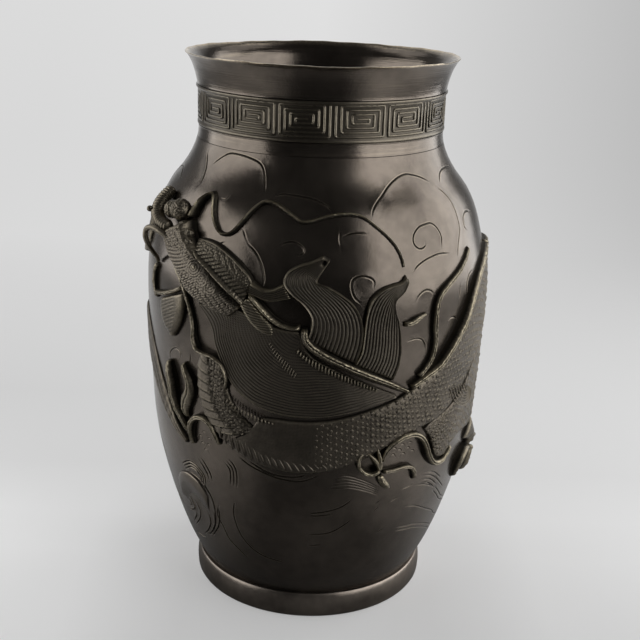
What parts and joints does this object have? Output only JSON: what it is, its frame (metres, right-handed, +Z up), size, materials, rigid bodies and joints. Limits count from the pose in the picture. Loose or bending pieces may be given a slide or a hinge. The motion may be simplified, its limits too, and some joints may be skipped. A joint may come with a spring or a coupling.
{
  "type": "bronze dragon vase",
  "caption": "Cast bronze vase with a flared rim, a key-fret neck band and a dragon in high relief wound round the belly, on a plain foot ring.",
  "frame": {"origin": "centre of the foot ring's underside, on the vase's turning axis", "axes": "+Z up along the turning axis; -Y is the side in the picture, with the dragon's beard; +X is to the right of that view"},
  "size_m": [0.1904, 0.1973, 0.3],
  "materials": {
    "vessel_bronze": "dark brown-black patinated cast bronze, satin, brushed round the neck",
    "relief_bronze": "patinated cast bronze relief, satin, brown with darker recesses",
    "worn_bronze": "patinated cast bronze, edges rubbed to a yellowish brown"
  },
  "bodies": {
    "root": {"foot_ring": "vessel_bronze", "base_plate": "vessel_bronze", "belly_shell": "vessel_bronze", "neck_collar": "vessel_bronze", "key_band": "worn_bronze", "nose": "relief_bronze", "lip_roll": "relief_bronze", "nose_knob": "relief_bronze", "whisker_loop": "relief_bronze", "long_whisker": "worn_bronze", "eye": "worn_bronze", "brow_crest": "worn_bronze", "horn": "worn_bronze", "horn_root": "worn_bronze", "temple_tuft": "worn_bronze", "nape_tuft": "worn_bronze", "head": "relief_bronze", "jaw_whisker": "relief_bronze", "leaf_bar": "worn_bronze", "hanging_leaf": "relief_bronze", "hanging_whisker": "relief_bronze", "mane_lock_lower": "relief_bronze", "mane_lock_upper": "relief_bronze", "mane_fan": "relief_bronze", "shoulder_ribbon": "worn_bronze", "spine_ridge": "worn_bronze", "small_flame": "worn_bronze", "fore_claw": "worn_bronze", "wave_ribbon": "worn_bronze", "heel_spur": "relief_bronze", "hanging_toe": "worn_bronze", "left_toe_inner": "worn_bronze", "heel_curl": "worn_bronze", "left_toe_outer": "worn_bronze", "left_foreleg": "relief_bronze", "neck": "relief_bronze", "trunk_front": "relief_bronze", "haunch": "relief_bronze", "hind_shank": "relief_bronze", "hind_toe_front": "worn_bronze", "hind_toe_middle": "worn_bronze", "hind_toe_back": "worn_bronze", "back_spine": "worn_bronze", "trunk_back": "relief_bronze", "tail": "relief_bronze", "tail_flame": "worn_bronze", "back_shank": "relief_bronze", "back_claw": "worn_bronze", "back_ribbon_right": "worn_bronze", "back_ribbon_left": "worn_bronze", "wave_crest": "vessel_bronze"}
  },
  "joints": []
}
